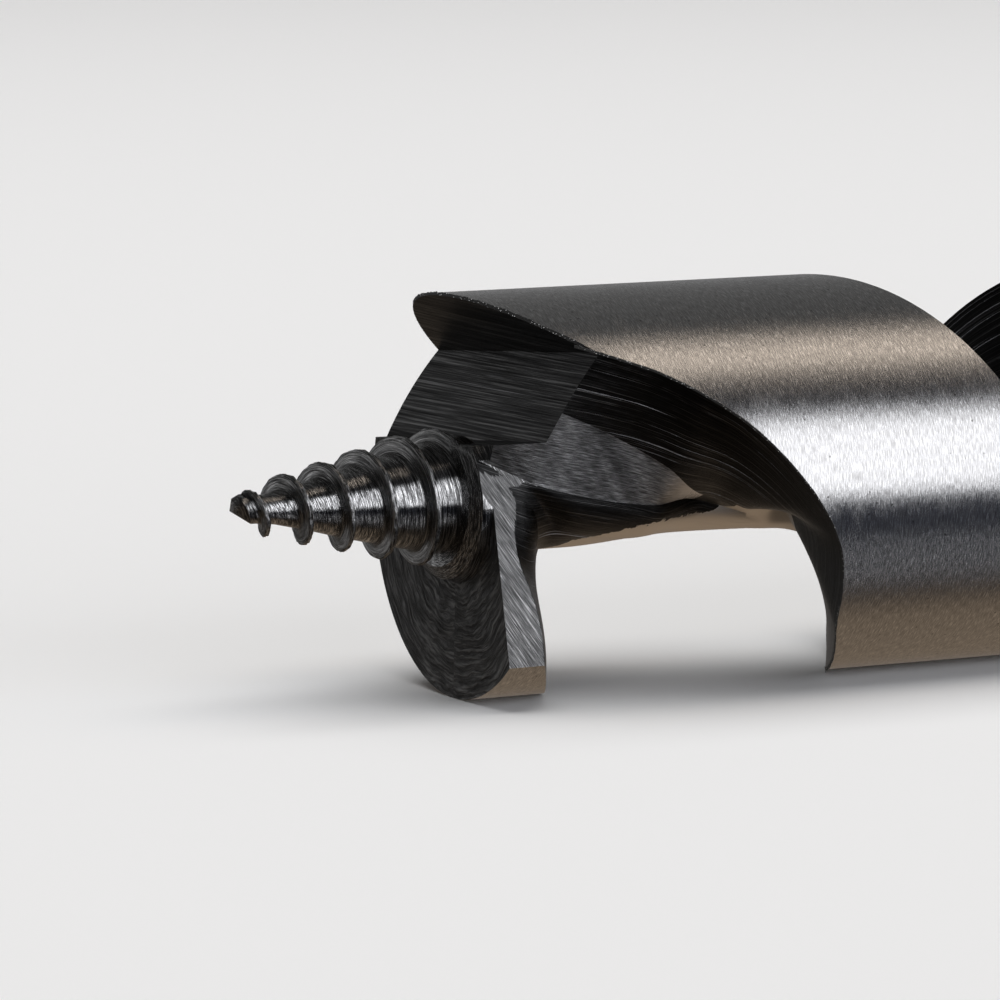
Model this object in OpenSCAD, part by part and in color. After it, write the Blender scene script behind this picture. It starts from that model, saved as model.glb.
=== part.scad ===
// Auger drill bit for wood: lead screw, single cutter, V-notched spur, wide helical flute,
// round neck and hexagon shank, all one piece of steel.
// The bit lies along X with its screw tip toward -X. The origin is the centre of the shank's
// rear end face. Angles run round the axis from +Z toward -Y, and stations along the axis are
// measured toward the shank from the head's datum plane.

/* [Bit] */
// Diameter over the land, which is the size of the hole it bores
bit_d = 20; // [17:0.5:24]
// Overall length from the screw tip to the end of the shank
overall_len = 235; // [200:5:280]
// Length of the flute and its shoulder behind the head's datum plane
flute_len = 148; // [110:2:160]

/* [Spiral] */
// Distance the flute advances in one full turn
lead = 32.2; // [28:0.2:38]
// Width of the land measured along the axis
land_w = 14.8; // [11:0.2:17]
// Diameter of the core at the bottom of the flute
core_d = 5.8; // [5:0.1:7.4]
// Width along the axis of the hollow wall at the front of the land
cove_w = 3.3; // [3:0.2:6]
// Size along the axis of the fillet at the foot of the wall behind the land
heel_w = 0.9; // [0.4:0.1:1.6]
// Undercut of that wall at its foot, along the axis
undercut = 0.8; // [0:0.1:1.6]
// Length of the shoulder where the flute runs out into the neck
shoulder_len = 9; // [6:0.5:14]

/* [Head] */
// Distance of the rake face in front of the axis
rake_offset = 4; // [3.6:0.1:4.6]
// Direction that the rake face looks in
rake_deg = 74; // [68:1:80]
// Distance of the front face ahead of the datum plane, on the axis
face_lead = 0.2; // [0:0.1:0.8]
// Undercut of the cutter's rear wall at its foot, along the axis
web_undercut = 4; // [1:0.1:5]
// Thickening of the cutter behind the rake face, at its foot
web_foot = 1.1; // [0.4:0.1:1.8]
// Size along the axis of the fillet behind the rake face
web_fillet = 3.8; // [2.5:0.1:4.5]
// Diameter of the hub round the lead screw, at its front
hub_d = 8.2; // [7.4:0.1:9]
// Height of the hub ahead of the datum plane
hub_h = 1.5; // [1.2:0.1:2.2]
// Relief angle of the front face behind the cutting edge
relief_deg = 5; // [1:0.5:8]
// Direction toward which the front face falls back
relief_dir = 285; // [270:1:300]
// Depth of the V notch behind the datum plane
notch_depth = 3.5; // [2.5:0.1:4.5]
// Height of the bottom of the V notch above the axis
notch_h = 6.9; // [6:0.1:7.6]
// Height at which the sloping floor of the notch ends above the lead screw
notch_floor_h = 2.6; // [2.2:0.1:3.4]
// Slope of the notch floor away from the crosswise plane
floor_deg = 21; // [15:0.5:35]
// Slope of the notch wall under the spur away from the crosswise plane
spur_deg = 56; // [45:1:65]
// Direction in which the notch is cut above the axis
notch_deg = 356; // [345:1:365]
// Slope of the bottom of the notch across the head
notch_fall_deg = 3.2; // [0:0.2:6]
// Direction of the slanting cut that frees the front of the land
slant_deg = 16.4; // [10:0.2:22]
// Station at which the slanting cut passes that direction
slant_s = -5.2; // [-7:0.1:-4]
// Reach of the slanting cut along the axis for each millimetre of radius
slant_slope = 2.085; // [1.9:0.005:2.4]
// Length of the ground facet in the throat, behind the datum plane
throat_len = 11.6; // [9:0.2:13]
// Station at which the throat's bottom line leaves the rake face
valley_s = 2; // [1.4:0.1:3]

/* [Lead screw] */
// Distance from the tip of the screw to the head's datum plane
screw_reach = 12.7; // [10:0.1:16]
// Pitch of the screw thread
thread_pitch = 2.1; // [1.6:0.05:2.8]
// Diameter over the thread where it meets the head
screw_d = 6.6; // [6:0.1:7.4]
// Height of the thread where it meets the head
thread_h = 1; // [0.6:0.05:1.3]
// Width of the thread crest
crest_w = 0.35; // [0.2:0.05:0.6]
// Diameter over the thread at its first turn
tip_d = 1.6; // [1:0.1:2.4]

/* [Shank] */
// Width across the flats of the hexagon shank
hex_af = 11.1; // [9:0.1:13]
// Length of the hexagon shank
hex_len = 42; // [30:1:50]
// Diameter of the round neck
neck_d = 11; // [9:0.2:12.6]
// Chamfer round the end of the hexagon shank
hex_chamfer = 1; // [0.4:0.1:2]

/* [Hidden] */
r = bit_d / 2;
core_r = core_d / 2;
datum_x = screw_reach - overall_len;
far = 2 * bit_d;

// Stations along the axis: a flat nose that the head's cuts remove, close layers where the web
// leaves the rake face, then wider ones
nose_s = -3;
head_end = 14;
head_step = 0.8;
edge_step = 0.3;
helix_step = 1.3;
shoulder_s = flute_len - shoulder_len;
rear_s = 20.7;
shoulder_r = neck_d / 2 - 0.15;
helix_layers = ceil((flute_len - head_end) / helix_step);
stations = concat(
    [for (s = [nose_s : head_step : -head_step / 2]) s],
    [for (s = [0 : edge_step : 1.3 * valley_s]) s],
    [for (s = [1.3 * valley_s + head_step : head_step : head_end - head_step / 2]) s],
    [for (i = [0 : helix_layers]) mix(head_end, flute_len, i / helix_layers)]
);

// Points of each section: land, hollow wall, throat, flute floor and fillet
land_steps = 16;
wall_steps = 4;
floor_steps = 5;
heel_heights = [0, 0.04, 0.14, 0.32, 0.6, 0.85];

// Angles from the front edge of the land to the crease and to the bottom of the throat
crease_span = 22;
valley_span = 30;
knee = 4;
// Angle taken by each of the narrow flats that the land is drawn with
flat_deg = 12;

function mix(a, b, u) = a + (b - a) * u;
// Eased step from 0 to 1 as v goes from a to b
function ease(v, a, b) = let (u = min(1, max(0, (v - a) / (b - a)))) u * u * (3 - 2 * u);
// Point at station s and radius q, at angle a round the axis
function polar(s, q, a) = [s, -q * sin(a), q * cos(a)];
function radius_of(p) = norm([p[1], p[2]]);
// Radius of the land at an angle: drawn with flats, one of them underneath, so the bit lies still
function land_r(a) = r / cos(a - flat_deg * round(a / flat_deg));
// Degrees turned by the flute over a length, and the length for an angle
function turned(length) = length * 360 / lead;
function advance(a) = a * lead / 360;

// The rear edge of the land is a helix. Its front edge is a helix too, and near the head the
// slanting cut takes over in a rounded knee.
function rear_deg(s) = turned(s - rear_s);
function helix_front(s) = turned(s - rear_s + land_w);
function slant_front(s) = slant_deg + asin(min(1, max(-1, (s - slant_s) / (slant_slope * r))));
function front_deg(s) = let (a = helix_front(s), b = slant_front(s))
    s > head_end + land_w ? a : (a + b + sqrt(pow(a - b, 2) + knee * knee)) / 2;

// The rake face is a plane along the axis, seen in a section as a straight line
function rake_r(a) = rake_offset / max(0.2, cos(a - rake_deg));
rake_rim_deg = rake_deg + acos(rake_offset / r);
function web_deg(s) = max(rear_deg(s) + 360, rake_rim_deg);

// Bottom line of the throat: straight along the rake face, then round the core. It leaves the
// rake face at valley_turn, runs valley_rate degrees a millimetre before and valley_rest after.
valley_turn = rake_deg + 4.7;
valley_rate = 6.7;
valley_rest = 21.7;
function head_valley_deg(s) = s < valley_s
    ? valley_turn - valley_rate * (valley_s - s)
    : valley_turn + valley_rest * (1 - pow(max(0, (throat_len - s) / (throat_len - valley_s)), 2));
function head_valley_r(s) = rake_r(head_valley_deg(min(s, valley_s)));
// Crease where the ground facet meets the dark wall, as [y, z]: its place at the bottom line's
// turn, and what it shifts for each millimetre toward the shank
crease_at = [-5.1, 4.3];
crease_shift = [0.07, -0.5];
function head_crease(s) = crease_at + (s - valley_s) * crease_shift;

// Share of the regular flute's form in a section, 0 in the head and 1 behind the throat
function regular(s) = ease(s, throat_len - 3, throat_len + 1);
// Hollow wall of the regular flute, an angle a behind the front edge of the land
function cove_r(a) = let (u = min(1, advance(a) / cove_w))
    r - (r - core_r) * sqrt(1 - pow(1 - u, 2));
function valley_deg(s) = mix(head_valley_deg(s), front_deg(s) + valley_span, regular(s));
function valley_r(s) = mix(head_valley_r(s), cove_r(valley_span), regular(s));

// Core radius at the foot of the wall behind the land
function foot_r(s) = mix(rake_offset, core_r, ease(s, valley_s / 2, 2 * valley_s));
// How far that wall stands behind the rear edge, at a share f of its height
fillet_power = 8;
function lean(s) =
    mix(mix(-web_foot, web_undercut, ease(s, valley_s, 3 * valley_s)), undercut,
        ease(s, valley_s, head_end));
function fillet_w(s) = mix(web_fillet, heel_w, ease(s, 0.8 * valley_s, 2.2 * valley_s));
function heel_offset(s, f) = fillet_w(s) * pow(1 - f, fillet_power) - lean(s) * (1 - f);
function heel_deg(s, f) =
    max(rear_deg(s) + 360 - turned(heel_offset(s, f)), valley_deg(s) + 2 + 3 * f);
// Radius at an angle a of the head's section, inside the rake face where there is one
function inside_rake(s, q, a) = s < valley_s ? min(q, rake_r(a)) : q;

function land_points(s) = [
    for (i = [0 : land_steps])
        let (a = mix(web_deg(s) - 360, front_deg(s), i / land_steps)) polar(s, land_r(a), a)
];
function wall_points(s) = [
    for (i = [1 : wall_steps])
        let (u = pow(i / wall_steps, 1.3),
             rim = polar(s, land_r(front_deg(s)), front_deg(s)),
             straight = mix(rim, concat([s], head_crease(s)), u),
             hollow = polar(s, cove_r(crease_span * u), front_deg(s) + crease_span * u))
        mix(straight, hollow, regular(s))
];
function floor_points(s) = [
    for (i = [1 : floor_steps])
        let (u = i / (floor_steps + 1), a = mix(valley_deg(s), heel_deg(s, 0), u))
        polar(s, inside_rake(s, mix(valley_r(s), foot_r(s), ease(u, 0, 0.6)), a), a)
];
function heel_points(s) = [
    for (f = heel_heights)
        let (a = heel_deg(s, f)) polar(s, inside_rake(s, mix(foot_r(s), r, f), a), a)
];

// The shoulder turns the land down to the neck while the flute rises to it
function shoulder(p) =
    let (q = radius_of(p), k = mix(q, shoulder_r, ease(p[0], shoulder_s, flute_len)) / q)
    [p[0], p[1] * k, p[2] * k];
function section(s) = [
    for (p = concat(land_points(s), wall_points(s), [polar(s, valley_r(s), valley_deg(s))],
        floor_points(s), heel_points(s))) shoulder(p)
];

// Body lofted through the sections, each with the same number of points
module spiral_blank() {
    layers = [for (s = stations) section(s)];
    n = len(layers[0]);
    m = len(layers);
    sides = [
        for (i = [0 : m - 2], j = [0 : n - 1])
            let (a = i * n + j, b = i * n + (j + 1) % n)
            each [[a, a + n, b], [b, a + n, b + n]]
    ];
    front = [for (j = [0 : n - 1]) j];
    back = [for (j = [n - 1 : -1 : 0]) (m - 1) * n + j];
    polyhedron(points = [for (layer = layers, p = layer) p],
        faces = concat([front, back], sides), convexity = 10);
}

// Everything ahead of the front face, up to the notch. The face falls back behind the cutting
// edge, and a short conical hub is left on it round the lead screw.
module face_cut() {
    difference() {
        intersection() {
            rotate([relief_dir, 0, 0])
                translate([-face_lead, 0, 0])
                    rotate([0, relief_deg, 0])
                        translate([-far, -far / 2, -far / 2])
                            cube(far);
            rotate([notch_deg, 0, 0])
                translate([-far / 2, -far / 2, notch_h - far])
                    cube(far);
        }
        translate([-hub_h, 0, 0])
            rotate([0, 90, 0])
                cylinder(h = 2 * hub_h, r1 = hub_d / 2, r2 = hub_d / 2 + hub_h / 2, $fn = 64);
    }
}

// V notch cut straight across the head, which leaves the spur outside it
module notch_cut() {
    floor_s = notch_depth - (notch_h - notch_floor_h) * tan(floor_deg);
    wall_rise = (notch_depth + far) / tan(spur_deg);
    rotate([notch_deg, 0, 0])
        rotate([0, 0, notch_fall_deg])
            rotate([90, 0, 0])
                linear_extrude(height = far, center = true)
                    polygon([
                        [notch_depth, notch_h],
                        [floor_s, notch_floor_h],
                        [-far, notch_floor_h],
                        [-far, notch_h + wall_rise]
                    ]);
}

// Tapered screw thread: one strip wound round the cone, closed at its tip and its base
module lead_screw() {
    turn_steps = 24;
    profile_n = 5;
    flank_w = 0.3;
    thread_end = 1.3;
    sink = 3.5;
    steps = round((screw_reach - thread_end) / thread_pitch * turn_steps);
    last = steps * profile_n;
    function crest_r(i) = mix(tip_d / 2, screw_d / 2, pow(i / steps, 0.75));
    function root_r(i) = crest_r(i) - mix(tip_d / 4, thread_h, ease(i, 0, 2 * turn_steps));
    function place(i, offset, q) =
        polar(-screw_reach + i * thread_pitch / turn_steps + offset, q, i * 360 / turn_steps);
    function profile(i) = let (c = (thread_pitch - crest_w) / 2) [
        place(i, 0, root_r(i)),
        place(i, c - flank_w, root_r(i)),
        place(i, c, crest_r(i)),
        place(i, c + crest_w, crest_r(i)),
        place(i, c + crest_w + flank_w, root_r(i))
    ];
    function seam(i) = i <= steps ? i * profile_n : last + profile_n - 1 + i - steps;
    wound = [for (i = [0 : steps], p = profile(i)) p];
    ending = [for (i = [1 : turn_steps]) place(steps + i, 0, root_r(steps))];
    tip = len(wound) + len(ending);
    base = tip + 1;
    strip = [
        for (i = [0 : steps - 1], j = [0 : profile_n - 1])
            let (a = i * profile_n + j,
                 b = j < profile_n - 1 ? a + 1 : seam(i + turn_steps),
                 d = j < profile_n - 1 ? a + 1 + profile_n : seam(i + 1 + turn_steps))
            each [[a, b, a + profile_n], [b, d, a + profile_n]]
    ];
    tip_fan = concat(
        [for (i = [0 : turn_steps - 1]) [tip, seam(i), seam(i + 1)]],
        [for (j = [0 : profile_n - 2]) [tip, j + 1, j]],
        [[tip, seam(turn_steps), profile_n - 1]]
    );
    base_fan = concat(
        [for (i = [steps : steps + turn_steps - 1]) [base, seam(i + 1), seam(i)]],
        [for (j = [0 : profile_n - 2]) [base, last + j, last + j + 1]],
        [[base, last + profile_n - 1, seam(steps + turn_steps)]]
    );
    polyhedron(
        points = concat(wound, ending, [[-screw_reach, 0, 0], [sink, 0, 0]]),
        faces = concat(strip, tip_fan, base_fan), convexity = 12);
}

// Hexagon shank with its end turned to a chamfer, and the round neck ahead of it
module shank() {
    hex_r = hex_af / 2 / cos(30);
    neck_len = overall_len - screw_reach - flute_len - hex_len;
    overlap = 1;
    rotate([0, 90, 0]) {
        translate([0, 0, -hex_len])
            intersection() {
                cylinder(h = hex_len, r = hex_r, $fn = 6);
                union() {
                    cylinder(h = hex_len - hex_chamfer, r = hex_r + overlap, $fn = 96);
                    translate([0, 0, hex_len - hex_chamfer])
                        cylinder(h = hex_chamfer, r1 = hex_r, r2 = hex_r - hex_chamfer, $fn = 96);
                }
            }
        translate([0, 0, -hex_len - neck_len - overlap])
            cylinder(h = neck_len + 2 * overlap, d = neck_d, $fn = 96);
    }
}

module auger_bit() {
    color([0.42, 0.42, 0.43]) {
        translate([datum_x, 0, 0]) {
            difference() {
                spiral_blank();
                face_cut();
                notch_cut();
            }
            lead_screw();
        }
        shank();
    }
}

auger_bit();
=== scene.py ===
import bpy
import numpy as np
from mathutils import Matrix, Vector


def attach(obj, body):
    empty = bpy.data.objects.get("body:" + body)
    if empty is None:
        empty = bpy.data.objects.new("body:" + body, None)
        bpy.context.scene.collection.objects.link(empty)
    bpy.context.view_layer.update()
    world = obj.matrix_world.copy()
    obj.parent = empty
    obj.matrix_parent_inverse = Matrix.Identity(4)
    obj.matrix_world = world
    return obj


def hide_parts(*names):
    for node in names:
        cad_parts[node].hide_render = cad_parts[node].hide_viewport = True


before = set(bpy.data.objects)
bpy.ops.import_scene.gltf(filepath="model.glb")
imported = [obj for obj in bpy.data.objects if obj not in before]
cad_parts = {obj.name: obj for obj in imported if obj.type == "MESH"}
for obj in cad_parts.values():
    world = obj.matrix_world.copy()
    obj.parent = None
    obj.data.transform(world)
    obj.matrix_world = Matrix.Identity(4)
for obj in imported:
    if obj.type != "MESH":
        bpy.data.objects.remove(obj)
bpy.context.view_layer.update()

# --- The spiral body: one forged and milled bar of tool steel, ground on its land, on the rake
# face of the cutter and on the facet in the throat; the milled flute keeps its black heat skin.
datum_x = 12.7 - 235.0          # the head's datum plane in the bit's frame, mm
bit_r, core_r, lead = 10.0, 2.9, 32.2
flute_len, shoulder_len = 148.0, 9.0
land_w, rear_s = 14.8, 20.7
rake_offset, rake_deg = 4.0, 74.0
throat_len, valley_s = 11.6, 2.0
rng = np.random.default_rng(7)


def mix(a, b, u):
    """Straight blend from a to b."""
    return a + (b - a) * u


def ease(v, a, b):
    """Eased step from 0 to 1 as v goes from a to b."""
    u = np.clip((v - a) / (b - a), 0, 1)
    return u * u * (3 - 2 * u)


def polar(s, q, a):
    """Point at station s and radius q, at a degrees round the axis from the top to the near side."""
    s, q, a = np.broadcast_arrays(s, q, np.radians(a))
    return np.stack([s, -q * np.sin(a), q * np.cos(a)], -1)


def turned(length):
    """Degrees that the flute turns over a length."""
    return length * 360 / lead


def rear_deg(s):
    """Rear edge of the land: a helix, drawn in a little where it passes behind the throat."""
    return turned(s - rear_s) + 8 * np.exp(-((s - 9.5) / 2.5) ** 2)


def waist(s):
    """How much thinner the core is in the throat than in the plain flute."""
    return 0.37 * ease(s, 5.5, 12) * (1 - ease(s, 16, 25))


def front_deg(s):
    """Front edge of the land: a helix, and near the head the rim of the slanting cut through the
    knots, which runs almost crosswise under the bit before it joins the helix."""
    knots = np.array([(-3.0, 22.5), (3.92, 42.3), (6.51, 49.5), (8.08, 55.2), (9.68, 61.8), (10.78, 66.9),
                      (11.87, 73.0), (12.97, 79.8), (14.2, 88.2), (15.3, 97.0), (16.1, 106.0),
                      (16.5, 114.0), (16.76, 123.0), (17.1, 132.0), (20.2, 170.5), (22.5, 189.8),
                      (25, 214.5), (28, 247.1), (29, 258.3)])
    smooth = np.linspace(-0.25, 0.25, 7)
    rim = np.mean([np.interp(s + d, knots[:, 0], knots[:, 1]) for d in smooth], axis=0)
    return np.where(s < 28, rim, turned(s - rear_s + land_w))


def rake_r(a):
    return rake_offset / np.maximum(0.2, np.cos(np.radians(a - rake_deg)))


rake_rim_deg = rake_deg + np.degrees(np.arccos(rake_offset / bit_r))


def web_deg(s):
    return np.maximum(rear_deg(s) + 360, rake_rim_deg)


def head_valley_deg(s):
    """Bottom line of the throat, straight along the rake face and then round the core."""
    turn = rake_deg + 4.7
    rest = np.maximum(0, (throat_len - s) / (throat_len - valley_s))
    return np.where(s < valley_s, turn - 6.7 * (valley_s - s), turn + 21.7 * (1 - rest ** 2))


def regular(s):
    """Share of the plain flute's form in a section, 0 in the head and 1 behind the throat."""
    return ease(s, throat_len - 3, throat_len + 1)


def cove_r(a):
    u = np.minimum(1, a * lead / 360 / 3.3)
    return bit_r - (bit_r - core_r) * np.sqrt(1 - (1 - u) ** 2)


def valley_deg(s):
    return mix(head_valley_deg(s), front_deg(s) + 30, regular(s))


def valley_r(s):
    return mix(rake_r(head_valley_deg(np.minimum(s, valley_s))), cove_r(30.0) - waist(s), regular(s))


def foot_r(s):
    """Core radius where the wall behind the land stands on it."""
    return mix(rake_offset, core_r, ease(s, valley_s / 2, 2 * valley_s)) - waist(s)


def heel_deg(s, f):
    """Angle of the wall behind the land at a share f of its height, over a fillet at its foot."""
    lean = mix(mix(-1.1, 4.0, ease(s, valley_s, 3 * valley_s)), 0.8, ease(s, valley_s, 14.0))
    fillet = mix(3.8, 0.9, ease(s, 0.8 * valley_s, 2.2 * valley_s))
    bow = 1.3 * ease(s, 3, 7) * (1 - ease(s, 11, 16)) - 0.3 * (1 - ease(s, 2.5, 4.5))
    offset = fillet * (1 - f) ** 8 - lean * (1 - f) - bow * 4 * f * (1 - f)
    return np.maximum(rear_deg(s) + 360 - turned(offset), valley_deg(s) + 2 + 3 * f)


def in_rake(s, q, a):
    return np.where(s < valley_s, np.minimum(q, rake_r(a)), q)


def shoulder(p):
    """Turns the land down to the neck while the flute rises to it."""
    q = np.hypot(p[..., 1], p[..., 2])
    k = mix(q, 5.35, ease(p[..., 0], flute_len - shoulder_len, flute_len)) / q
    return p * np.stack([np.ones_like(k), k, k], -1)


s = np.concatenate([np.arange(-3, 0.2, 0.2), np.arange(0.2, 2.2, 0.05), np.arange(2.2, 22, 0.15),
                    np.arange(22, 36, 0.3), np.linspace(36, flute_len, 162)])[:, None]
u_land = np.linspace(0, 1, 71)[None, :]
land = polar(s, bit_r, mix(web_deg(s) - 360, front_deg(s), u_land))
u_wall = np.linspace(0, 1, 29)[None, 1:]
rim = polar(s, bit_r, front_deg(s))
crease = np.concatenate([s, np.full_like(s, -5.2), 4.46 - 0.38 * (s - 2.5) - 0.018 * (s - 2.5) ** 2], 1)[:, None, :]
straight = mix(rim, crease, u_wall[..., None])
under = ease(s, 14, 17) * (1 - ease(s, 21, 27))
hollow = polar(s, mix(cove_r(22 * u_wall), mix(bit_r, 3.6, u_wall), under), front_deg(s) + mix(22.0, -10.0, under) * u_wall)
wall = mix(straight, hollow, regular(s)[..., None])
u_facet = np.linspace(0, 1, 13)[None, 1:]
valley = polar(s, valley_r(s), valley_deg(s))
facet = mix(wall[:, -1:], valley, u_facet[..., None])
u_floor = np.linspace(0, 1, 31)[None, 1:]
a_floor = mix(valley_deg(s), heel_deg(s, 0), u_floor)
floor_r = mix(valley_r(s), foot_r(s), ease(u_floor, 0, 0.45))
core = polar(s, in_rake(s, floor_r, a_floor), a_floor)
f_heel = np.linspace(0, 1, 31)[None, 1:-1] ** 1.6
a_heel = heel_deg(s, f_heel)
heel = polar(s, in_rake(s, mix(foot_r(s), bit_r, f_heel), a_heel), a_heel)
body_grid = shoulder(np.concatenate([land, wall, facet, core, heel], 1))
groups = [("land", land), ("wall", wall), ("facet", facet), ("core", core), ("heel", heel)]
counts = [g.shape[1] for _, g in groups]


def grid_faces(rows, cols):
    """Quads of a grid of points that is closed round its second direction, as an index array."""
    i, j = np.meshgrid(np.arange(rows - 1), np.arange(cols), indexing="ij")
    a, b = i * cols + j, i * cols + (j + 1) % cols
    return np.stack([a, b, b + cols, a + cols], -1).reshape(-1, 4)


def make_mesh(name, points, faces, mats, slots, caps=()):
    """Mesh piece in the bit's frame from points in mm, quads, end caps and a material index for each."""
    mesh = bpy.data.meshes.new(name)
    at = points.reshape(-1, 3) * 0.001 + np.array([datum_x * 0.001, 0, 0])
    mesh.from_pydata(at.tolist(), [], faces.tolist() + [list(map(int, c)) for c in caps])
    for m in mats:
        mesh.materials.append(m)
    mesh.polygons.foreach_set("material_index", np.asarray(slots, np.int32))
    mesh.validate()
    obj = bpy.data.objects.new(name, mesh)
    bpy.context.scene.collection.objects.link(obj)
    return obj


def node(tree, kind, ins=(), **props):
    """Adds a shader node, sets its properties, and fills its inputs with numbers or links."""
    n = tree.nodes.new("ShaderNode" + kind)
    for key, value in props.items():
        setattr(n, key, value)
    for key, value in dict(ins).items():
        if isinstance(value, bpy.types.NodeSocket):
            tree.links.new(value, n.inputs[key])
        else:
            n.inputs[key].default_value = value
    return n


def group(name, ins, outs):
    """Empty node group with float inputs (a name ending in Vector is a vector) and float outputs."""
    tree = bpy.data.node_groups.new(name, "ShaderNodeTree")
    for label, value in ins.items():
        kind = "NodeSocketVector" if label == "Vector" else "NodeSocketFloat"
        socket = tree.interface.new_socket(label, in_out="INPUT", socket_type=kind)
        if value is not None:
            socket.default_value = value
    for label in outs:
        tree.interface.new_socket(label, in_out="OUTPUT", socket_type="NodeSocketFloat")
    return tree, tree.nodes.new("NodeGroupInput").outputs, tree.nodes.new("NodeGroupOutput").inputs


def place(tree, name, ins):
    """Puts a node group into a tree with its inputs filled, and returns its outputs."""
    n = tree.nodes.new("ShaderNodeGroup")
    n.node_tree = bpy.data.node_groups[name]
    for key, value in ins.items():
        if isinstance(value, bpy.types.NodeSocket):
            tree.links.new(value, n.inputs[key])
        else:
            n.inputs[key].default_value = value
    return n.outputs


# tool marks: noise drawn out along the cut, as fine height and as a few caught bright lines (Glint), which some
# materials paint into their colour as highlight
tree, gi, go = group("tool_marks", {"Vector": None, "Across": 0.1, "Along": 1.0, "Bright": 0.6}, ["Height", "Glint", "Patch"])
size = node(tree, "CombineXYZ", {0: gi["Across"], 1: gi["Along"], 2: gi["Across"]})
scaled = node(tree, "VectorMath", {0: gi["Vector"], 1: size.outputs[0]}, operation="DIVIDE")
fine = node(tree, "TexNoise", {"Vector": scaled.outputs[0], "Scale": 1.0, "Detail": 4.0, "Roughness": 0.65})
tree.links.new(fine.outputs[0], go["Height"])
slow = node(tree, "VectorMath", {0: scaled.outputs[0], 1: (0.61, 0.35, 0.61)}, operation="MULTIPLY")
lines = node(tree, "TexNoise", {"Vector": slow.outputs[0], "Scale": 1.0, "Detail": 3.0, "Roughness": 0.75})
top = node(tree, "Math", {0: gi["Bright"], 1: 0.06}, operation="ADD")
caught = node(tree, "MapRange", {"Value": lines.outputs[0], "From Min": gi["Bright"], "From Max": top.outputs[0]})
tree.links.new(caught.outputs[0], go["Glint"])
wide = node(tree, "VectorMath", {0: scaled.outputs[0], 1: (0.07, 0.3, 0.07)}, operation="MULTIPLY")
patch = node(tree, "TexNoise", {"Vector": wide.outputs[0], "Scale": 1.0, "Detail": 2.0})
tree.links.new(patch.outputs[0], go["Patch"])

# specks: small pits or sparkling burr points, scattered, no two alike
tree, gi, go = group("specks", {"Vector": None, "Size": 0.1, "Share": 0.2}, ["Mask"])
scale = node(tree, "Math", {0: 1.0, 1: gi["Size"]}, operation="DIVIDE")
cells = node(tree, "TexVoronoi", {"Vector": gi["Vector"], "Scale": scale.outputs[0]})
chance = node(tree, "SeparateXYZ", {0: cells.outputs["Color"]})
picked = node(tree, "Math", {0: chance.outputs[0], 1: gi["Share"]}, operation="LESS_THAN")
near = node(tree, "MapRange", {"Value": cells.outputs["Distance"], "From Min": 0.3, "From Max": 0.18})
both = node(tree, "Math", {0: picked.outputs[0], 1: near.outputs[0]}, operation="MULTIPLY")
tree.links.new(both.outputs[0], go["Mask"])


def steel(name):
    """New metal material; returns its tree and its shader, to be filled with colour and marks."""
    m = bpy.data.materials.new(name)
    m.use_nodes = True
    shader = m.node_tree.nodes["Principled BSDF"]
    shader.inputs["Metallic"].default_value = 1.0
    return m, m.node_tree, shader


def colour_ramp(tree, fac, stops, interpolation="LINEAR"):
    """Colours or greys over a factor from a list of (position, colour)."""
    n = node(tree, "ValToRGB", {0: fac})
    ramp = n.color_ramp
    ramp.interpolation = interpolation
    while len(ramp.elements) < len(stops):
        ramp.elements.new(0.5)
    for element, (where, colour) in zip(ramp.elements, stops):
        element.position = where
        element.color = (*colour, 1) if isinstance(colour, tuple) else (colour, colour, colour, 1)
    return n.outputs[0]


def blend(tree, fac, a, b):
    """Mix of two colours by a factor."""
    n = node(tree, "Mix", {0: fac}, data_type="RGBA")
    for key, value in ((6, a), (7, b)):
        if isinstance(value, bpy.types.NodeSocket):
            tree.links.new(value, n.inputs[key])
        else:
            n.inputs[key].default_value = (*value, 1)
    return n.outputs[2]


def bump(tree, shader, height, depth_mm, strength=1.0):
    n = node(tree, "Bump", {"Height": height, "Strength": strength, "Distance": depth_mm * 0.001})
    tree.links.new(n.outputs[0], shader.inputs["Normal"])


def wind_uv(tree):
    """Surface coordinates of the body in mm: x across the tool marks, y along them."""
    return node(tree, "UVMap", uv_map="wind").outputs[0]


def along_line(tree, across, along, depth=(0, 0, 0)):
    """Object coordinates in mm, measured across and along straight tool marks."""
    at = node(tree, "TexCoord").outputs["Object"]
    parts = [node(tree, "VectorMath", {0: at, 1: tuple(1000.0 * c for c in way)}, operation="DOT_PRODUCT").outputs["Value"]
             for way in (across, along, depth)]
    return node(tree, "CombineXYZ", dict(enumerate(parts))).outputs[0]


def round_axis(tree, twist=0.0):
    """Object coordinates in mm round the bit's axis: x along it (slipping by twist a turn), y the
    way round on a 4 mm radius, z the distance from the axis."""
    at = node(tree, "SeparateXYZ", {0: along_line(tree, (1, 0, 0), (0, 1, 0), (0, 0, 1))}).outputs
    turn = node(tree, "Math", {0: node(tree, "Math", {0: at[1], 1: -1.0}, operation="MULTIPLY").outputs[0], 1: at[2]}, operation="ARCTAN2").outputs[0]
    slip = node(tree, "Math", {0: turn, 1: -twist / 6.2832, 2: at[0]}, operation="MULTIPLY_ADD").outputs[0]
    squares = node(tree, "Math", {0: at[1], 1: at[1], 2: node(tree, "Math", {0: at[2], 1: at[2]}, operation="MULTIPLY").outputs[0]}, operation="MULTIPLY_ADD").outputs[0]
    out = node(tree, "Math", {0: squares}, operation="SQRT").outputs[0]
    arc = node(tree, "Math", {0: turn, 1: 4.0}, operation="MULTIPLY").outputs[0]
    return node(tree, "CombineXYZ", {0: slip, 1: arc, 2: out}).outputs[0]


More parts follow.
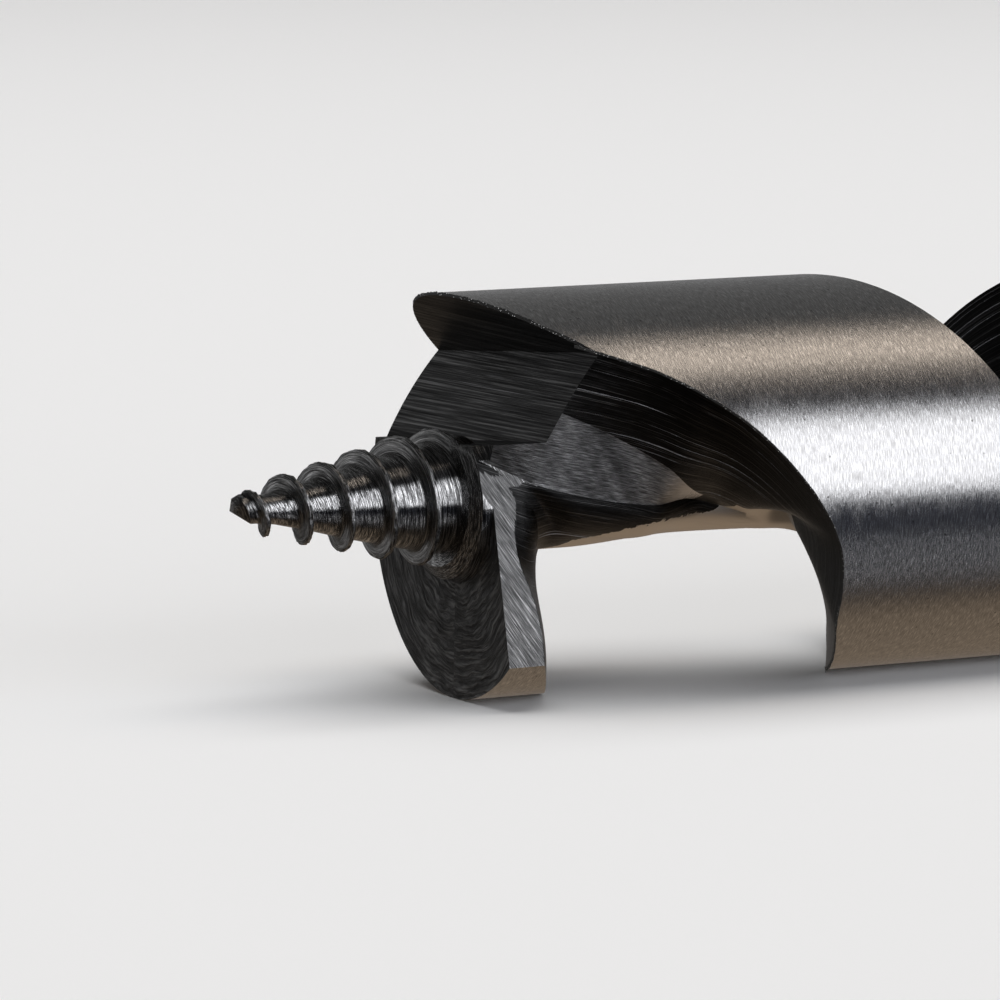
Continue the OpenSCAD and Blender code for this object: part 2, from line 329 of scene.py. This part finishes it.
# ground land: short fine lines round the bit, a few pits
land_steel, tree, shader = steel("ground_land")
uv = wind_uv(tree)
marks = place(tree, "tool_marks", {"Vector": uv, "Across": 0.05, "Along": 0.5, "Bright": 0.56})
pits = place(tree, "specks", {"Vector": uv, "Size": 0.22, "Share": 0.03})
tone = colour_ramp(tree, marks["Height"], [(0.3, (0.3, 0.295, 0.29)), (0.5, (0.48, 0.475, 0.47)), (0.7, (0.85, 0.85, 0.85))])
tree.links.new(blend(tree, pits["Mask"], tone, (0.16, 0.155, 0.15)), shader.inputs["Base Color"])
rough = node(tree, "MapRange", {"Value": marks["Patch"], "From Min": 0.3, "From Max": 0.7, "To Min": 0.13, "To Max": 0.21})
tree.links.new(rough.outputs[0], shader.inputs["Roughness"])
bump(tree, shader, marks["Height"], 0.016)

# black milled flute, with bright caught lines along the cut painted into its colour as highlight; the old floor
# of the flute is rubbed bare and smooth up to a ragged border, and behind the throat the fillet has a painted
# reflection
flute_steel, tree, shader = steel("black_flute")
uv = wind_uv(tree)
marks = place(tree, "tool_marks", {"Vector": uv, "Across": 0.07, "Along": 12.0, "Bright": 0.63})
bare_and_sheen_at = node(tree, "Attribute", attribute_name="bare_and_painted_sheen").outputs["Fac"]
ragged = node(tree, "TexNoise", {"Vector": along_line(tree, (1, 0, 0), (0, 1, 0), (0, 0, 1)), "Scale": 2.2, "Detail": 4.0, "Roughness": 0.7}).outputs[0]
edge = node(tree, "Math", {0: ragged, 1: 0.5}, operation="SUBTRACT")
edge = node(tree, "MapRange", {"Value": node(tree, "Math", {0: bare_and_sheen_at, 1: edge.outputs[0]}, operation="ADD").outputs[0],
                               "From Min": 0.48, "From Max": 0.52}).outputs[0]
dark = colour_ramp(tree, marks["Height"], [(0.35, 0.012), (0.58, 0.04), (0.72, 0.3)])
# painted highlight: the caught lines are painted near white in the colour, standing in for ridges that catch the light
dark = blend(tree, marks["Glint"], dark, (0.9, 0.91, 0.95))
# pale bare steel on the flute's floor; on the fillet behind the throat the same colour is a painted reflection
tree.links.new(blend(tree, edge, dark, (0.92, 0.86, 0.79)), shader.inputs["Base Color"])
rough = node(tree, "MapRange", {"Value": marks["Glint"], "To Min": 0.3, "To Max": 0.62})
rough = node(tree, "Math", {0: node(tree, "Math", {0: edge, 1: 0.08}, operation="MULTIPLY").outputs[0], 1: rough.outputs[0]}, operation="ADD")
tree.links.new(rough.outputs[0], shader.inputs["Roughness"])
ridges = node(tree, "Math", {0: marks["Glint"], 1: 1.6, 2: marks["Height"]}, operation="MULTIPLY_ADD").outputs[0]
skin = node(tree, "Math", {0: 1.0, 1: edge}, operation="SUBTRACT").outputs[0]
bump(tree, shader, node(tree, "Math", {0: ridges, 1: skin}, operation="MULTIPLY").outputs[0], 0.04)

# ground rake face: coarse slanting scratches; the facet in the throat is ground the same way,
# finer, and towards its far end is smoother and has a painted highlight in its colour
rake_steel, tree, shader = steel("ground_rake")
at = along_line(tree, (0.846, 0, 0.533), (0.533, 0, -0.846))
marks = place(tree, "tool_marks", {"Vector": at, "Across": 0.028, "Along": 1.3, "Bright": 0.59})
tone = colour_ramp(tree, marks["Height"], [(0.34, (0.03, 0.03, 0.03)), (0.5, (0.13, 0.13, 0.13)), (0.66, (0.42, 0.42, 0.42))])
# painted highlight: the caught lines are painted light grey in the colour
tree.links.new(blend(tree, marks["Glint"], tone, (0.75, 0.75, 0.75)), shader.inputs["Base Color"])
rough = node(tree, "MapRange", {"Value": marks["Patch"], "From Min": 0.3, "From Max": 0.7, "To Min": 0.32, "To Max": 0.45})
tree.links.new(rough.outputs[0], shader.inputs["Roughness"])
bump(tree, shader, marks["Height"], 0.03)

facet_steel, tree, shader = steel("ground_facet")
marks = place(tree, "tool_marks", {"Vector": wind_uv(tree), "Across": 0.07, "Along": 1.2, "Bright": 0.6})
polish_and_painted_shine = node(tree, "Attribute", attribute_name="polish_and_painted_shine").outputs["Fac"]
tone = colour_ramp(tree, marks["Height"], [(0.34, (0.12, 0.12, 0.12)), (0.52, (0.38, 0.38, 0.38)), (0.68, (0.85, 0.85, 0.87))])
bands = node(tree, "TexNoise", {"Vector": along_line(tree, (0.8, 0, 0.5), (0.08, 0, -0.1)), "Scale": 1.0, "Detail": 2.0}).outputs[0]
band_tone = colour_ramp(tree, bands, [(0.35, 0.4), (0.62, 1.0)])
tone = node(tree, "Mix", {0: 1.0, 6: tone, 7: band_tone}, data_type="RGBA", blend_type="MULTIPLY").outputs[2]
# painted highlight: the facet's colour is painted lighter towards its far end; its lower roughness there is a real
# polish
tree.links.new(blend(tree, polish_and_painted_shine, tone, (0.9, 0.9, 0.93)), shader.inputs["Base Color"])
rough = node(tree, "MapRange", {"Value": polish_and_painted_shine, "To Min": 0.36, "To Max": 0.25})
tree.links.new(rough.outputs[0], shader.inputs["Roughness"])
bump(tree, shader, marks["Height"], 0.025)

rows, cols = body_grid.shape[:2]
quads = grid_faces(rows, cols)
col_of = np.tile(np.arange(cols), rows - 1)
row_of = np.repeat(np.arange(rows - 1), cols)
edges = np.cumsum(counts)
s_of = s[row_of, 0]
slot = np.where(col_of < edges[0] - 1, 0, 1)
slot = np.where((col_of >= edges[1] - 1) & (col_of < edges[2] - 1) & (s_of < throat_len), 3, slot)
depth = (body_grid[..., 2] * np.cos(np.radians(rake_deg)) - body_grid[..., 1] * np.sin(np.radians(rake_deg))) - rake_offset
on_plane = np.abs(depth) < 0.015
on_plane = on_plane[:-1] & on_plane[1:] & np.roll(on_plane, -1, 1)[:-1] & np.roll(on_plane, -1, 1)[1:]
slot = np.where(on_plane.ravel() & (col_of >= edges[2] - 1) & (s_of < valley_s), 2, slot)
front_cap = np.arange(cols)[::-1]
back_cap = (rows - 1) * cols + np.arange(cols)
body = make_mesh("spiral_body", body_grid, quads, [land_steel, flute_steel, rake_steel, facet_steel],
                 np.concatenate([slot, [1, 1]]), [front_cap, back_cap])

# surface coordinates: on the land x runs along the bit and y round it; elsewhere x is the path
# from the land's front rim and y follows the flute
angle = mix(web_deg(s) - 360, front_deg(s), u_land)
path = np.cumsum(np.linalg.norm(np.diff(body_grid, axis=1, append=body_grid[:, :1]), axis=-1), 1)
path = path - path[:, edges[0] - 2:edges[0] - 1]
across = np.where(np.arange(cols)[None, :] < edges[0], s, np.roll(path, 1, 1))
along = np.where(np.arange(cols)[None, :] < edges[0], np.pad(np.radians(angle) * bit_r, ((0, 0), (0, cols - edges[0]))), s * 1.6)
wind = np.zeros((rows - 1, cols, 4, 2))
for corner, (di, dj) in enumerate(((0, 0), (0, 1), (1, 1), (1, 0))):
    jj = np.minimum(np.arange(cols) + dj, cols - 1)
    wind[:, :, corner, 0] = across[di:rows - 1 + di][:, jj]
    wind[:, :, corner, 1] = along[di:rows - 1 + di][:, jj]
    wall_start = edges[0] - 1
    wind[:, wall_start, corner, 0] = path[di:rows - 1 + di, wall_start] * dj
    wind[:, wall_start, corner, 1] = s[di:rows - 1 + di, 0] * 1.6
layer = body.data.uv_layers.new(name="wind")
flat = np.zeros((len(body.data.loops), 2), np.float32)
flat[:wind.size // 2] = wind.reshape(-1, 2)
layer.data.foreach_set("uv", flat.ravel())

# bare and painted sheen: the smooth floor of the flute, beyond a border that climbs from under the cutter;
# behind the throat the fillet at the wall's foot gets the same pale colour as a painted reflection
psi = np.degrees(np.arctan2(-body_grid[..., 1], body_grid[..., 2])) % 360
border = np.interp(s, [3.4, 4.6, 5.35, 6.55, 8.05, 9.55, 11.05, 12, 12.6, 13.2, 14, 17],
                   [175, 158, 145, 127, 115.5, 113, 118, 121, 120.5, 117, 100, 90])
is_core = (np.arange(cols) >= edges[2] - 1) & (np.arange(cols) < edges[3] + 6)
bare_and_painted_sheen = np.clip(0.5 + (psi - border) / 16, 0, 1) * is_core[None, :] * (s < 17) + is_core[None, :] * (s >= 17)
bare_and_painted_sheen = bare_and_painted_sheen * (s > 3.3)
# painted reflection: the fillet at the wall's foot, behind the throat, is painted the pale bare colour
is_fillet = (np.arange(cols) >= edges[1] - 4) & (np.arange(cols) < edges[2] + 1)
bare_and_painted_sheen = np.maximum(bare_and_painted_sheen, is_fillet[None, :] * ((s > 13.6) & (s < 21.5)) * 0.9)
# share of painted highlight and polish on the facet, rising towards its far end
polish_and_painted_shine = ease(s, 8, 12) * np.ones_like(bare_and_painted_sheen)
for name, values in (("bare_and_painted_sheen", bare_and_painted_sheen), ("polish_and_painted_shine", polish_and_painted_shine)):
    body.data.attributes.new(name, "FLOAT", "POINT").data.foreach_set("value", values.astype(np.float32).ravel())

# --- The head's cuts: the front face is milled back behind the cutting edge, and a V notch
# straight across the head leaves the spur standing outside it.
notch_steel, tree, shader = steel("black_notch")
marks = place(tree, "tool_marks", {"Vector": along_line(tree, (0.34, 0, 0.94), (0.1, 1, 0)), "Across": 0.12, "Along": 9.0, "Bright": 0.62})
tone = colour_ramp(tree, marks["Height"], [(0.34, 0.008), (0.5, 0.06), (0.68, 0.3)])
# painted highlight: the caught lines are painted mid grey in the colour
tree.links.new(blend(tree, marks["Glint"], tone, (0.3, 0.3, 0.31)), shader.inputs["Base Color"])
rough = node(tree, "MapRange", {"Value": marks["Patch"], "From Min": 0.3, "From Max": 0.7, "To Min": 0.28, "To Max": 0.42})
tree.links.new(rough.outputs[0], shader.inputs["Roughness"])
bump(tree, shader, marks["Height"], 0.06)

face_steel, tree, shader = steel("black_face")
at = round_axis(tree)
warp = node(tree, "TexNoise", {"Vector": at, "Scale": 0.5, "Detail": 3.0}).outputs[1]
warped = node(tree, "VectorMath", {0: warp, 1: (0.0, 1.5, 1.5), 2: at}, operation="MULTIPLY_ADD").outputs[0]
marks = place(tree, "tool_marks", {"Vector": warped, "Across": 0.16, "Along": 1.6, "Bright": 0.62})
tone = colour_ramp(tree, marks["Height"], [(0.3, 0.03), (0.5, 0.12), (0.7, 0.4)])
tree.links.new(tone, shader.inputs["Base Color"])
rough = node(tree, "MapRange", {"Value": marks["Patch"], "From Min": 0.3, "From Max": 0.7, "To Min": 0.38, "To Max": 0.55})
tree.links.new(rough.outputs[0], shader.inputs["Roughness"])
bump(tree, shader, marks["Height"], 0.26)

# the screw's black polished steel, also on the hub that it grows out of: lines round the thread,
# and bright points along its rolled crest
screw_steel, tree, shader = steel("black_screw")
at = round_axis(tree, 2.1)
marks = place(tree, "tool_marks", {"Vector": at, "Across": 0.035, "Along": 3.0, "Bright": 0.56})
sparks = place(tree, "specks", {"Vector": at, "Size": 0.07, "Share": 0.3})
crest_at = node(tree, "Attribute", attribute_name="crest").outputs["Fac"]
tone = colour_ramp(tree, marks["Height"], [(0.4, 0.05), (0.5, 0.22), (0.6, 0.8)])
spark = node(tree, "Math", {0: sparks["Mask"], 1: crest_at}, operation="MULTIPLY").outputs[0]
tree.links.new(blend(tree, spark, tone, (0.85, 0.83, 0.8)), shader.inputs["Base Color"])
rough = node(tree, "MapRange", {"Value": crest_at, "To Min": 0.08, "To Max": 0.4})
tree.links.new(rough.outputs[0], shader.inputs["Roughness"])
bump(tree, shader, marks["Height"], 0.02)

notch_depth, notch_h, notch_floor_h = 3.5, 6.9, 2.6


def turn_x(p, a):
    """Turns points by a degrees about the axis, from the near side to the top."""
    c, k = np.cos(np.radians(a)), np.sin(np.radians(a))
    return np.stack([p[..., 0], p[..., 1] * c - p[..., 2] * k, p[..., 1] * k + p[..., 2] * c], -1)


def box_points(lo, hi):
    """Corners of a box, first its low end and then its high end in x."""
    x, y, z = np.array([lo, hi]).T
    return np.array([[p, q, w] for p in x for q, w in ((y[0], z[0]), (y[1], z[0]), (y[1], z[1]), (y[0], z[1]))])


box_faces = np.array([[3, 2, 1, 0], [4, 5, 6, 7], [0, 1, 5, 4], [1, 2, 6, 5], [2, 3, 7, 6], [3, 0, 4, 7]])


def cut(piece, tool, operation="DIFFERENCE"):
    """Joins or takes away a tool solid, keeping the tool's own materials on the cut faces."""
    m = piece.modifiers.new("cut", "BOOLEAN")
    m.object, m.operation, m.solver, m.material_mode = tool, operation, "EXACT", "TRANSFER"
    mesh = bpy.data.meshes.new_from_object(piece.evaluated_get(bpy.context.evaluated_depsgraph_get()))
    piece.modifiers.clear()
    piece.data = mesh
    bpy.data.objects.remove(tool)


# front face: a slab ahead of a plane that falls back behind the cutting edge, below the notch
c5, s5 = np.cos(np.radians(5)), np.sin(np.radians(5))
slab = box_points((-40, -20, -20), (0, 20, 20))
slab = np.stack([slab[:, 0] * c5 + slab[:, 2] * s5 - 0.2, slab[:, 1], -slab[:, 0] * s5 + slab[:, 2] * c5], -1)
slab = turn_x(slab, 285)
face_tool = make_mesh("face_tool", slab, box_faces, [face_steel], np.zeros(6))
below = turn_x(box_points((-20, -20, notch_h - 40), (20, 20, notch_h)), 356)
below_tool = make_mesh("below_tool", below, box_faces, [face_steel], np.zeros(6))
cut(face_tool, below_tool, "INTERSECT")
ang = np.arange(0, 360, 3.0)
hub = np.stack([polar(x, rr, ang) for x, rr in ((-1.5, 0.01), (-1.5, 3.4), (-1.05, 4.05), (1.5, 4.85), (1.5, 0.01))])
hub_quads = grid_faces(5, len(ang))
hub_tool = make_mesh("hub_tool", hub, hub_quads, [screw_steel], np.zeros(len(hub_quads) + 2),
                     [np.arange(len(ang))[::-1], 4 * len(ang) + np.arange(len(ang))])
cut(face_tool, hub_tool)
cut(body, face_tool)

# notch prism: sloping floor and the wall under the spur, tipped a little along the notch
fall = np.radians(3.2)
profile = np.array([[notch_depth, notch_h], [notch_depth - (notch_h - notch_floor_h) * np.tan(np.radians(21)), notch_floor_h],
                    [-40, notch_floor_h], [-40, notch_h + 43.5 / np.tan(np.radians(56))]])
prism = np.array([[x, w, z] for w in (-20, 20) for x, z in profile])
prism = np.stack([prism[:, 0] * np.cos(fall) - prism[:, 1] * np.sin(fall),
                  prism[:, 0] * np.sin(fall) + prism[:, 1] * np.cos(fall), prism[:, 2]], -1)
prism = turn_x(prism, 356)
notch_tool = make_mesh("notch_tool", prism, np.array([[3, 2, 1, 0], [4, 5, 6, 7], [0, 1, 5, 4], [1, 2, 6, 5],
                                                      [2, 3, 7, 6], [3, 0, 4, 7]]), [notch_steel], np.zeros(6))
cut(body, notch_tool)
body.data.polygons.foreach_set("use_smooth", np.ones(len(body.data.polygons), bool))
body.data.set_sharp_from_angle(angle=np.radians(28))
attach(body, "root")
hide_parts("auger_bit")

# the burr that grinding the land left along its front rim and along the edge of the spur
burr_steel, tree, shader = steel("burr")
flecks = place(tree, "specks", {"Vector": along_line(tree, (1, 0, 0), (0, 1, 0), (0, 0, 1)), "Size": 0.11, "Share": 0.6})
shader.inputs["Metallic"].default_value = 0.35
# painted glint: the flecks are painted near white so that they catch the lamp as glitter along the edge
tree.links.new(colour_ramp(tree, flecks["Mask"], [(0, 0.04), (1, 0.95)]), shader.inputs["Base Color"])
rough = node(tree, "MapRange", {"Value": flecks["Mask"], "To Min": 0.5, "To Max": 0.25})
tree.links.new(rough.outputs[0], shader.inputs["Roughness"])
bump(tree, shader, flecks["Mask"], 0.02)


def burr(name, at_s, at_deg, side):
    """Closed ragged strip along an edge of the land: its peak rises by smoothed random heights."""
    rise = rng.normal(0, 1, len(at_s)) + rng.normal(0, 1, len(at_s)).cumsum() * 0.05
    rise = 0.012 + 0.03 * np.abs((rise[:-2] + rise[1:-1] + rise[2:]) / 2)
    at_s, at_deg = at_s[1:-1], at_deg[1:-1]
    strip = np.stack([polar(at_s, bit_r - 0.01, at_deg - 0.45), polar(at_s - side, bit_r + rise, at_deg + 0.12),
                      polar(at_s - side, bit_r - 0.12, at_deg + 0.2)], 1)
    quads = grid_faces(len(at_s), 3)
    piece = make_mesh(name, strip, quads, [burr_steel], np.zeros(len(quads) + 2), [[2, 1, 0], [3 * len(at_s) - 3 + k for k in range(3)]])
    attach(piece, "root")


rim_s = np.arange(2.7, 22.0, 0.07)
burr("rim_burr", rim_s, front_deg(rim_s), 0.0)
edge_deg = np.arange(-22, 39.6, 0.35)
flat = turn_x(polar(0, bit_r, edge_deg), 4)
edge_x = notch_depth - (flat[:, 2] - notch_h) * np.tan(np.radians(56))
burr("spur_burr", (edge_x - flat[:, 1] * np.sin(fall)) / np.cos(fall), edge_deg, 0.03)

# --- The lead screw: a tapered coarse thread cut on the end of the bar, left black from
# hardening, with a rough rolled edge on its crest.
reach, pitch, steps_turn = 12.7, 2.09, 90
n_steps = int(round((reach - 1.1) / pitch * steps_turn))
across = np.array([0, 0.2, 0.4, 0.5, 0.57, 0.6, 0.63, 0.66, 0.7, 0.77, 0.84, 0.88, 0.91, 0.94, 0.98, 1.1, 1.35, 1.6, 1.85])
height = np.array([0, 0, 0, 0.02, 0.1, 0.4, 0.85, 0.97, 1, 1, 1, 0.97, 0.85, 0.4, 0.1, 0.02, 0, 0, 0])
i = np.arange(n_steps + 1)[:, None]
turns = i / steps_turn
crest = np.interp(turns, [0, 0.25, 1.25, 2.25, 3.25, 4, 4.25, 5.6], [0.95, 1.2, 1.77, 2.2, 2.7, 3.12, 3.2, 3.5])


def root_r(turns):
    """Radius of the screw's root after some turns from the tip."""
    return np.interp(turns, [0, 0.2, 0.5, 1, 2, 3, 4, 5, 6.5], [0.6, 0.8, 0.68, 0.74, 1.2, 1.74, 2.2, 2.65, 3.2])


root = root_r(turns + across[None, :] / pitch)
ragged = rng.normal(0, 1, (n_steps + 1, len(across)))
ragged[1:-1] = (ragged[:-2] + ragged[1:-1] * 2 + ragged[2:]) / 2.4
q = mix(root, crest, height[None, :]) + 0.028 * ragged * (height[None, :] > 0.8)
wound = polar(-reach + i * pitch / steps_turn + across[None, :], q, i * 360 / steps_turn)
k = np.arange(n_steps + 1, n_steps + steps_turn + 1)
ending = polar(-reach + k * pitch / steps_turn, root_r(k / steps_turn), k * 360 / steps_turn)
m = len(across)
points = np.concatenate([wound.reshape(-1, 3), ending, [[-reach - 0.1, 0, 0], [3.5, 0, 0]]])
first = np.concatenate([np.arange(n_steps + 1) * m, (n_steps + 1) * m + np.arange(steps_turn)])
a = np.arange(n_steps)[:, None] * m + np.arange(m)[None, :]
b = np.concatenate([a[:, 1:], first[steps_turn:steps_turn + n_steps][:, None]], 1)
d = np.concatenate([a[:, 1:] + m, first[steps_turn + 1:steps_turn + n_steps + 1][:, None]], 1)
quads = np.stack([a, a + m, d, b], -1).reshape(-1, 4)
tip, base = len(points) - 2, len(points) - 1
end = n_steps * m
caps = [[tip, first[t + 1], first[t]] for t in range(steps_turn)]
caps += [[tip, t, t + 1] for t in range(m - 1)] + [[tip, m - 1, first[steps_turn]]]
caps += [[base, first[t], first[t + 1]] for t in range(n_steps, n_steps + steps_turn)]
caps += [[base, end + t + 1, end + t] for t in range(m - 1)] + [[base, first[n_steps + steps_turn], end + m - 1]]
screw = make_mesh("lead_screw", points, quads, [screw_steel], np.zeros(len(quads) + len(caps)), caps)
crest_share = np.concatenate([np.broadcast_to(height, (n_steps + 1, m)).ravel(), np.zeros(steps_turn + 2)])
screw.data.attributes.new("crest", "FLOAT", "POINT").data.foreach_set("value", crest_share.astype(np.float32))
screw.data.polygons.foreach_set("use_smooth", np.ones(len(screw.data.polygons), bool))
screw.data.set_sharp_from_angle(angle=np.radians(50))
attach(screw, "root")

# --- The shank: a round turned neck and a hexagon for the chuck, its end turned to a chamfer.
# It is cut from the same bar behind the shoulder where the flute runs out.
neck_steel, tree, shader = steel("dark_shank")
marks = place(tree, "tool_marks", {"Vector": round_axis(tree), "Across": 0.08, "Along": 3.0, "Bright": 0.6})
tone = colour_ramp(tree, marks["Height"], [(0.3, 0.1), (0.5, 0.16), (0.72, 0.28)])
tree.links.new(tone, shader.inputs["Base Color"])
shader.inputs["Roughness"].default_value = 0.34
bump(tree, shader, marks["Height"], 0.01)
hex_r, hex_len, neck_r, chamfer = 11.1 / 2 / np.cos(np.radians(30)), 42.0, 5.5, 1.0
shank_end = 235 - 12.7
ang = np.arange(0, 360, 2.5)
hex_at = 11.1 / 2 / np.cos(np.radians(((ang - 30) + 30) % 60 - 30))
neck_from = flute_len - 1
ring = [(neck_from, np.full_like(ang, 0.01)), (neck_from, np.full_like(ang, neck_r)),
        (shank_end - hex_len, np.full_like(ang, neck_r)), (shank_end - hex_len, np.maximum(hex_at, 0)),
        (shank_end - chamfer, hex_at)]
for t in np.linspace(0, 1, 7)[1:]:
    ring.append((shank_end - chamfer * (1 - t), np.minimum(hex_at, hex_r - chamfer * t)))
ring.append((shank_end, np.full_like(ang, 0.01)))
shank_grid = np.stack([polar(x, rr, ang) for x, rr in ring])
rows, cols = shank_grid.shape[:2]
quads = grid_faces(rows, cols)
shank = make_mesh("shank", shank_grid, quads, [neck_steel], np.zeros(len(quads) + 2),
                  [np.arange(cols)[::-1], (rows - 1) * cols + np.arange(cols)])
shank.data.polygons.foreach_set("use_smooth", np.ones(len(shank.data.polygons), bool))
shank.data.set_sharp_from_angle(angle=np.radians(25))
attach(shank, "root")

# --- The studio: a plain pale floor that the bit lies on, soft boxes laid along the bit with dark
# gaps between them, and the camera near the head, looking slightly down.
mesh = bpy.data.meshes.new("floor")
e = 3.0
mesh.from_pydata([(-e, -e, -0.01), (e, -e, -0.01), (e, e, -0.01), (-e, e, -0.01)], [], [(0, 1, 2, 3)])
floor = bpy.data.objects.new("floor", mesh)
bpy.context.scene.collection.objects.link(floor)
pale = bpy.data.materials.new("pale_floor")
pale.use_nodes = True
pale.node_tree.nodes["Principled BSDF"].inputs["Base Color"].default_value = (0.86, 0.86, 0.86, 1)
pale.node_tree.nodes["Principled BSDF"].inputs["Roughness"].default_value = 0.9
mesh.materials.append(pale)
floor.visible_glossy = False

world = bpy.data.worlds.new("studio")
bpy.context.scene.world = world
world.use_nodes = True
tree = world.node_tree
tree.nodes.clear()
way = node(tree, "SeparateXYZ", {0: node(tree, "TexCoord").outputs["Generated"]})
near_side = node(tree, "Math", {0: way.outputs[1], 1: -1.0}, operation="MULTIPLY").outputs[0]
around = node(tree, "Math", {0: near_side, 1: way.outputs[2]}, operation="ARCTAN2").outputs[0]
around = node(tree, "Math", {0: around}, operation="DEGREES").outputs[0]
share = node(tree, "MapRange", {"Value": around, "From Min": -180.0, "From Max": 180.0}).outputs[0]
room = [(-180, (0.24, 0.187, 0.138)), (-125, (0.24, 0.187, 0.138)), (-104, (0.2, 0.18, 0.165)), (-84, (0.26, 0.26, 0.265)),
        (-60, (0.15, 0.15, 0.15)), (-20, (0.1, 0.1, 0.1)), (36, (0.06, 0.06, 0.065)), (56, (0.06, 0.06, 0.07)),
        (104, (0.045, 0.05, 0.065)), (156, (0.035, 0.036, 0.042)), (174, (0.2, 0.155, 0.115)), (180, (0.24, 0.187, 0.138))]
light = colour_ramp(tree, share, [((d + 180) / 360, c) for d, c in room])
# towards the screw's end the room is dark
dim = [(-180, (0.05, 0.04, 0.03)), (-140, (0.07, 0.055, 0.042)), (-90, (0.08, 0.078, 0.075)), (-40, (0.08, 0.08, 0.08)),
       (0, (0.04, 0.04, 0.04)), (40, (0.025, 0.025, 0.025)), (120, (0.02, 0.02, 0.022)), (180, (0.05, 0.04, 0.03))]
to_end = node(tree, "MapRange", {"Value": way.outputs[0], "From Min": 0.32, "From Max": 0.2}, interpolation_type="SMOOTHSTEP").outputs[0]
light = blend(tree, to_end, light, colour_ramp(tree, share, [((d + 180) / 360, c) for d, c in dim]))


def soft_box(light, centre, half, soft, x_from, x_to, colour):
    """Adds a soft box: a band round the bit's axis, between two directions along it."""
    off = node(tree, "Math", {0: around, 1: centre}, operation="SUBTRACT").outputs[0]
    off = node(tree, "Math", {0: off}, operation="ABSOLUTE").outputs[0]
    band = node(tree, "MapRange", {"Value": off, "From Min": half + soft, "From Max": half - soft}, interpolation_type="SMOOTHSTEP").outputs[0]
    start = node(tree, "MapRange", {"Value": way.outputs[0], "From Min": x_from - 0.06, "From Max": x_from + 0.06}, interpolation_type="SMOOTHSTEP").outputs[0]
    stop = node(tree, "MapRange", {"Value": way.outputs[0], "From Min": x_to + 0.06, "From Max": x_to - 0.06}, interpolation_type="SMOOTHSTEP").outputs[0]
    fac = node(tree, "Math", {0: band, 1: node(tree, "Math", {0: start, 1: stop}, operation="MULTIPLY").outputs[0]}, operation="MULTIPLY").outputs[0]
    return blend(tree, fac, light, colour)


light = soft_box(light, 7.5, 11, 6, 0.3, 0.9, (1.3, 1.12, 0.95))
light = soft_box(light, 74.5, 23.5, 5, -0.3, 0.95, (1.9, 1.92, 2.0))
light = soft_box(light, 134, 14, 5, 0.27, 0.37, (1.2, 1.2, 1.25))
light = soft_box(light, -86, 26, 10, -0.9, -0.22, (0.3, 0.3, 0.305))
back = node(tree, "Background", {0: light})
out = node(tree, "OutputWorld", {0: back.outputs[0]})

lamp = bpy.data.lights.new("overhead", "AREA")
lamp.shape, lamp.size, lamp.size_y, lamp.energy = "RECTANGLE", 1.6, 1.6, 18.5
key = bpy.data.objects.new("overhead", lamp)
key.location = (-0.1, 0.1, 1.3)
bpy.context.scene.collection.objects.link(key)
key.visible_glossy = False

bpy.context.scene.view_settings.view_transform = "Standard"
cam_data = bpy.data.cameras.new("camera")
cam_data.lens, cam_data.sensor_width, cam_data.clip_start = 244.8, 36, 0.01
camera = bpy.data.objects.new("camera", cam_data)
camera.location = (-0.386126, -0.287622, 0.039145)
camera.rotation_euler = Vector((0.4965, 0.8600, -0.1181)).to_track_quat("-Z", "Y").to_euler()
bpy.context.scene.collection.objects.link(camera)
bpy.context.scene.camera = camera
